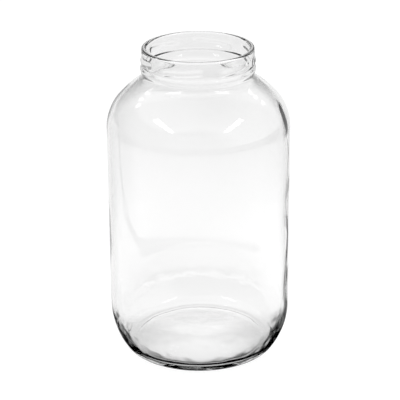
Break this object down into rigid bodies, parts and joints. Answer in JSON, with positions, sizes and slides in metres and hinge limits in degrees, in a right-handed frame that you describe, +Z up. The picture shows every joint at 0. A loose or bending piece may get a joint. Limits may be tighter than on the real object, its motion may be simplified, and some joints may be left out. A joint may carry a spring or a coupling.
{
  "type": "preserving jar",
  "caption": "Tall wide-mouth preserving jar in clear glass, with rounded shoulders and heel, a ridged neck for a twist-off lid and a beaded collar.",
  "frame": {"origin": "centre of the ring that the jar stands on, on the surface under it", "axes": "+Z up along the jar's axis through its mouth; +X to the right and -Y towards the camera in the picture, which matters only for where the neck's lid ridges start"},
  "size_m": [0.1606, 0.1606, 0.2796],
  "materials": {
    "clear_glass": "clear soda-lime container glass, smooth and polished, with the faint waviness of blown glass"
  },
  "bodies": {
    "root": {"glass_jar": "clear_glass"}
  },
  "joints": []
}
